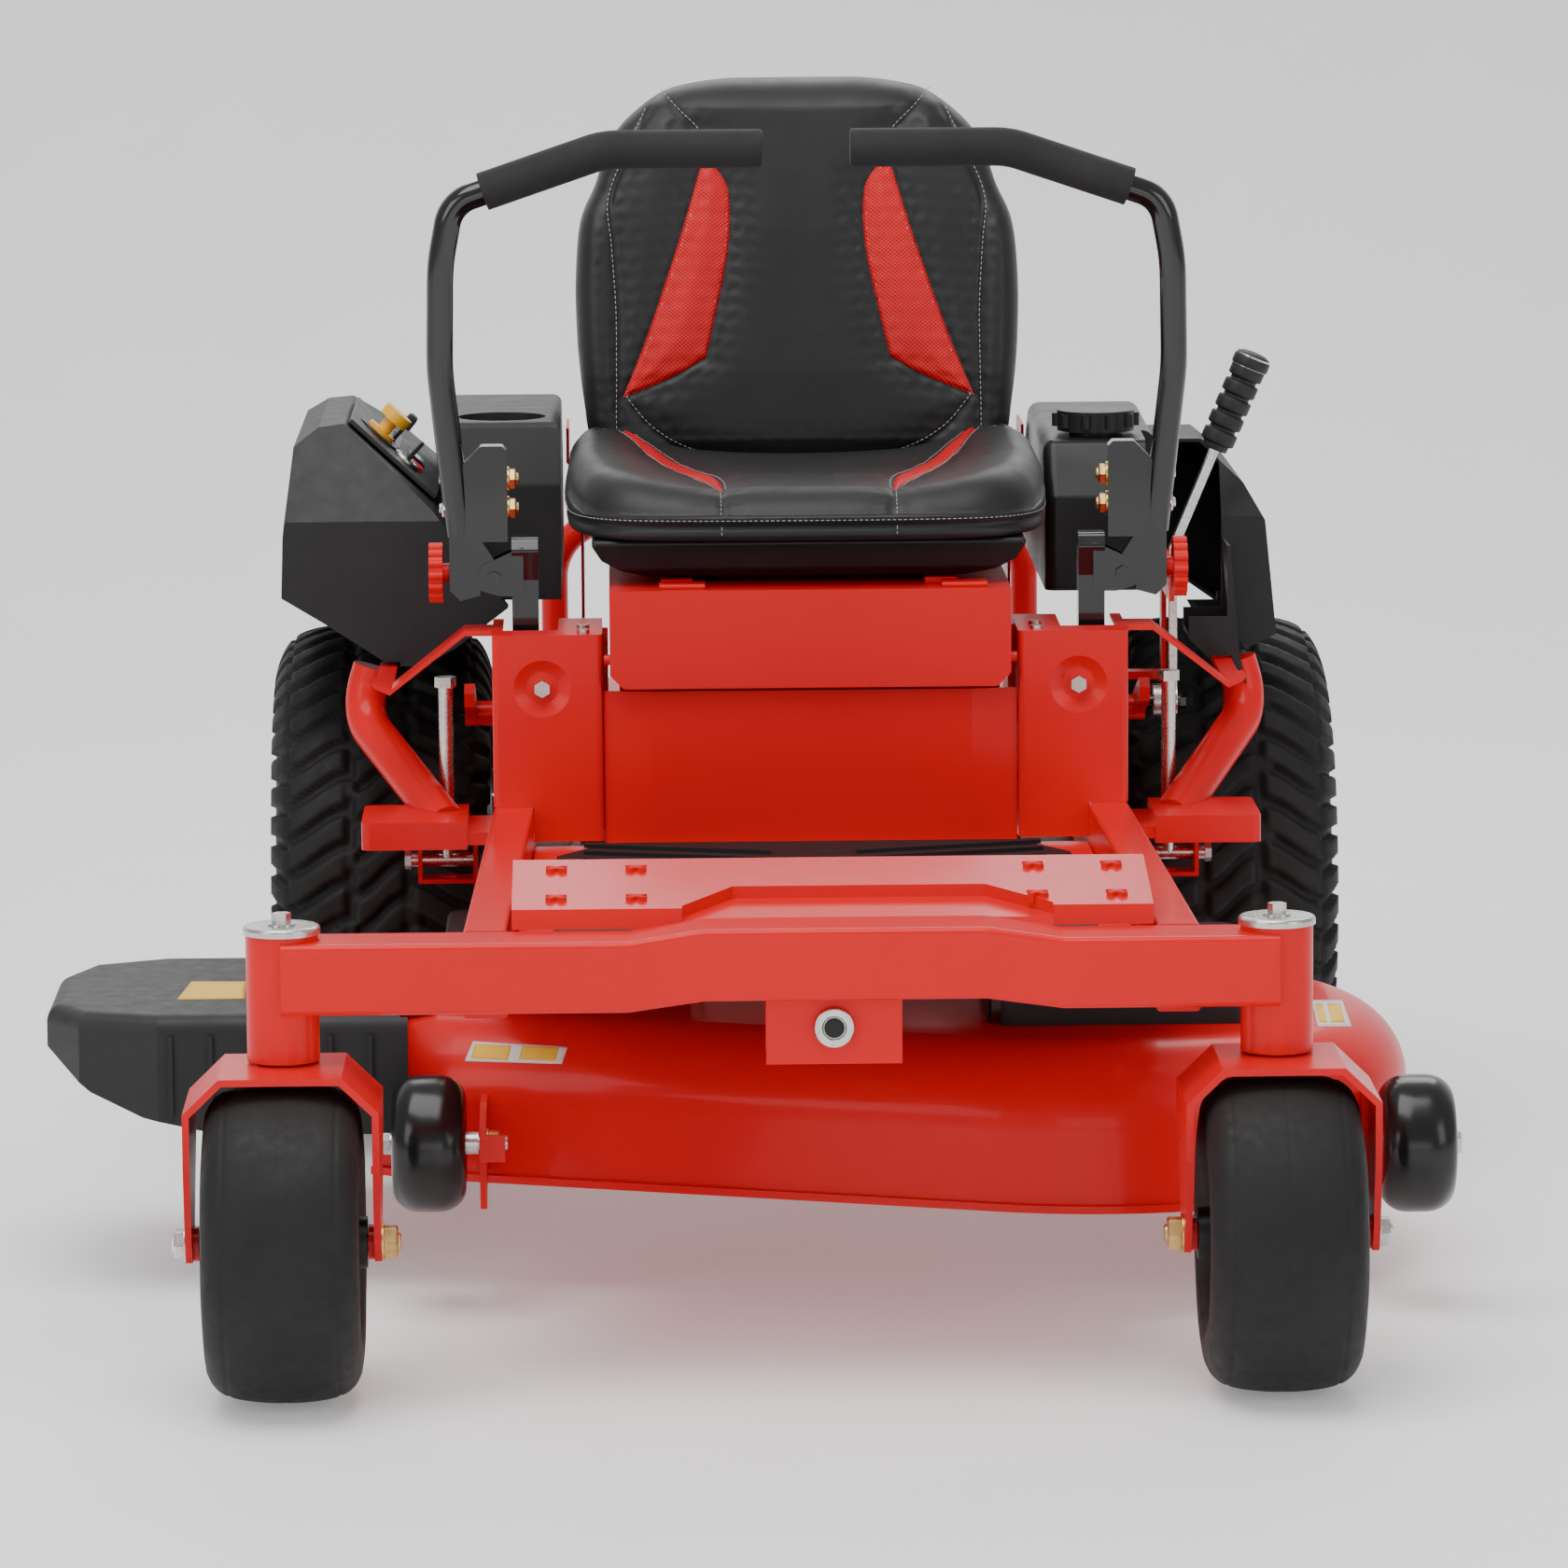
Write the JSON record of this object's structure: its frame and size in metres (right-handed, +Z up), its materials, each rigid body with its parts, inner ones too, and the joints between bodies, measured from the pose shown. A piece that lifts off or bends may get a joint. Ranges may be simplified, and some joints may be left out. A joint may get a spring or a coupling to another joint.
{
  "type": "riding lawn mower",
  "caption": "Zero-turn riding lawn mower: red steel frame and cutting deck, black sprung-look seat, twin lap bars, front caster wheels, large drive wheels and a side discharge chute.",
  "frame": {"origin": "bottom centre of the bounding box, on the ground", "axes": "+X to the operator's left, +Y rearward, +Z up"},
  "size_m": [1.27, 1.882, 1.0461],
  "materials": {
    "red_paint": "glossy powder coat",
    "black_paint": "gloss",
    "rim_paint": "satin",
    "tyre_rubber": "moulded rubber",
    "gauge_plastic": "smooth moulded",
    "zinc": "zinc plated",
    "black_plastic": "fine moulded texture",
    "mat_rubber": "ribbed",
    "grip_foam": "foam",
    "red_plastic": "moulded",
    "yellow_plastic": "moulded",
    "lever_steel": "zinc plated blade with moulded grip",
    "seat_vinyl": "grained vinyl with red inserts",
    "cast_alloy": "cast",
    "blade_steel": "hardened steel",
    "exhaust_steel": "heat dulled"
  },
  "bodies": {
    "frame": {"front_beam": "red_paint", "caster_bearings": "zinc", "floor_mat": "mat_rubber", "toe_plate": "red_paint", "seat_pedestals": "red_paint", "floor_pan": "red_paint", "frame_bolts": "zinc", "side_brackets": "red_paint", "console_right": "black_plastic", "cup_moulding": "black_plastic", "console_left": "black_plastic", "fuel_tank": "black_plastic", "control_panel": "black_plastic", "engine_block": "cast_alloy", "chassis_rails": "red_paint", "blower_housing": "black_plastic", "muffler": "exhaust_steel", "transaxles": "cast_alloy", "drive_belt": "mat_rubber", "rear_frame": "red_paint", "pivot_brackets": "black_paint"},
    "caster_left": {"caster_fork_left": "red_paint"},
    "front_wheel_left": {"tyre_front_left": "tyre_rubber", "rim_front_left": "rim_paint"},
    "drive_wheel_left": {"tyre_rear_left": "tyre_rubber", "rim_rear_left": "rim_paint"},
    "control_left": {"control_arm_left": "black_paint"},
    "lap_left": {"lap_bar_left": "black_paint", "lap_grip_left": "grip_foam"},
    "knob_left": {"lap_knob_left": "red_plastic"},
    "cutter_left": {"blade_left": "blade_steel"},
    "gauge_left": {"gauge_wheel_left": "gauge_plastic"},
    "caster_right": {"caster_fork_right": "red_paint"},
    "front_wheel_right": {"tyre_front_right": "tyre_rubber", "rim_front_right": "rim_paint"},
    "drive_wheel_right": {"tyre_rear_right": "tyre_rubber", "rim_rear_right": "rim_paint"},
    "control_right": {"control_arm_right": "black_paint"},
    "lap_right": {"lap_bar_right": "black_paint", "lap_grip_right": "grip_foam"},
    "knob_right": {"lap_knob_right": "red_plastic"},
    "cutter_right": {"blade_right": "blade_steel"},
    "gauge_right": {"gauge_wheel_right": "gauge_plastic"},
    "seat_tilt": {"seat_platform": "red_paint"},
    "seat": {"seat_base": "black_plastic", "seat_cushion": "seat_vinyl", "seat_back": "seat_vinyl"},
    "lever": {"height_lever": "lever_steel"},
    "rockshaft": {"rockshaft": "red_paint"},
    "deck": {"deck_shell": "red_paint", "spindle_housings": "cast_alloy", "deck_covers": "black_plastic", "deck_belt": "mat_rubber", "deck_brackets": "red_paint", "deck_pins": "zinc"},
    "clutch": {"pto_pulley": "blade_steel"},
    "front_link": {"front_link": "zinc"},
    "chute": {"chute": "black_plastic"},
    "pto_knob": {"pto_knob": "yellow_plastic"},
    "fuel_cap": {"fuel_cap": "black_plastic"}
  },
  "joints": [
    {"name": "caster_swivel_left", "type": "hinge", "parent": "frame", "child": "caster_left", "pos_m": [0.4475, -0.75997, 0.3], "axis": [0, 0, 1], "continuous": true},
    {"name": "front_wheel_spin_left", "type": "hinge", "parent": "caster_left", "child": "front_wheel_left", "pos_m": [0.4475, -0.80497, 0.136], "axis": [1, 0, 0], "continuous": true},
    {"name": "drive_wheel_spin_left", "type": "hinge", "parent": "frame", "child": "drive_wheel_left", "pos_m": [0.4845, 0.46503, 0.254], "axis": [1, 0, 0], "continuous": true},
    {"name": "steer_left", "type": "hinge", "parent": "frame", "child": "control_left", "pos_m": [0.333, 0.06503, 0.5], "axis": [1, 0, 0], "range_deg": [-10, 12]},
    {"name": "swing_out_left", "type": "hinge", "parent": "control_left", "child": "lap_left", "pos_m": [0.367, 0.06503, 0.602], "axis": [0, 1, 0], "range_deg": [0, 25]},
    {"name": "knob_turn_left", "type": "hinge", "parent": "lap_left", "child": "knob_left", "pos_m": [0.421, 0.06503, 0.606], "axis": [1, 0, 0], "continuous": true},
    {"name": "caster_swivel_right", "type": "hinge", "parent": "frame", "child": "caster_right", "pos_m": [-0.4, -0.75997, 0.3], "axis": [0, 0, 1], "continuous": true},
    {"name": "front_wheel_spin_right", "type": "hinge", "parent": "caster_right", "child": "front_wheel_right", "pos_m": [-0.4, -0.80497, 0.136], "axis": [1, 0, 0], "continuous": true},
    {"name": "drive_wheel_spin_right", "type": "hinge", "parent": "frame", "child": "drive_wheel_right", "pos_m": [-0.3465, 0.46503, 0.254], "axis": [1, 0, 0], "continuous": true},
    {"name": "steer_right", "type": "hinge", "parent": "frame", "child": "control_right", "pos_m": [-0.195, 0.06503, 0.5], "axis": [1, 0, 0], "range_deg": [-10, 12]},
    {"name": "swing_out_right", "type": "hinge", "parent": "control_right", "child": "lap_right", "pos_m": [-0.229, 0.06503, 0.602], "axis": [0, -1, 0], "range_deg": [0, 25]},
    {"name": "knob_turn_right", "type": "hinge", "parent": "lap_right", "child": "knob_right", "pos_m": [-0.283, 0.06503, 0.606], "axis": [1, 0, 0], "continuous": true},
    {"name": "seat_tilt", "type": "hinge", "parent": "frame", "child": "seat_tilt", "pos_m": [0.069, -0.00497, 0.53], "axis": [1, 0, 0], "range_deg": [0, 45]},
    {"name": "seat_slide", "type": "slide", "parent": "seat_tilt", "child": "seat", "axis": [0, 1, 0], "range_m": [-0.05, 0.05]},
    {"name": "deck_lift", "type": "slide", "parent": "frame", "child": "deck", "axis": [0, 0, 1], "range_m": [-0.064, 0.012], "deforming": ["deck_belt"]},
    {"name": "lever_swing", "type": "hinge", "parent": "frame", "child": "lever", "pos_m": [0.419, 0.25003, 0.452], "axis": [1, 0, 0], "range_deg": [-8, 41]},
    {"name": "rockshaft_turn", "type": "hinge", "parent": "frame", "child": "rockshaft", "pos_m": [0.069, 0.22203, 0.45], "axis": [1, 0, 0], "range_deg": [-8, 41]},
    {"name": "front_link_swing", "type": "hinge", "parent": "frame", "child": "front_link", "pos_m": [0.058, -0.74097, 0.313], "axis": [1, 0, 0], "range_deg": [-12, 2.5]},
    {"name": "blade_spin_left", "type": "hinge", "parent": "deck", "child": "cutter_left", "pos_m": [0.319, -0.23497, 0.15], "axis": [0, 0, 1], "continuous": true},
    {"name": "blade_spin_right", "type": "hinge", "parent": "deck", "child": "cutter_right", "pos_m": [-0.181, -0.07497, 0.15], "axis": [0, 0, 1], "continuous": true},
    {"name": "clutch_spin", "type": "hinge", "parent": "frame", "child": "clutch", "pos_m": [0.069, 0.72703, 0.32], "axis": [0, 0, 1], "continuous": true},
    {"name": "gauge_spin_left", "type": "hinge", "parent": "deck", "child": "gauge_left", "pos_m": [0.595, -0.48297, 0.1505], "axis": [1, 0, 0], "continuous": true},
    {"name": "gauge_spin_right", "type": "hinge", "parent": "deck", "child": "gauge_right", "pos_m": [-0.285, -0.43497, 0.1505], "axis": [1, 0, 0], "continuous": true},
    {"name": "chute_lift", "type": "hinge", "parent": "deck", "child": "chute", "pos_m": [-0.323, -0.18497, 0.264], "axis": [0, 1, 0], "range_deg": [0, 70], "stiffness_Nm_per_rad": 0.6, "springref_deg": -28.65},
    {"name": "pto_pull", "type": "slide", "parent": "frame", "child": "pto_knob", "axis": [0.6814, 0, 0.7319], "range_m": [0, 0.012]},
    {"name": "fuel_cap_turn", "type": "hinge", "parent": "frame", "child": "fuel_cap", "pos_m": [0.359, 0.34503, 0.715], "axis": [0, 0, 1], "continuous": true}
  ],
  "couplings": [
    {"joint": "lever_swing", "follows": "deck_lift", "rad_per_m": -10.9},
    {"joint": "rockshaft_turn", "follows": "deck_lift", "rad_per_m": -10.9},
    {"joint": "front_link_swing", "follows": "deck_lift", "rad_per_m": 3.2},
    {"joint": "blade_spin_right", "follows": "blade_spin_left", "ratio": 1},
    {"joint": "clutch_spin", "follows": "blade_spin_left", "ratio": 0.9}
  ]
}
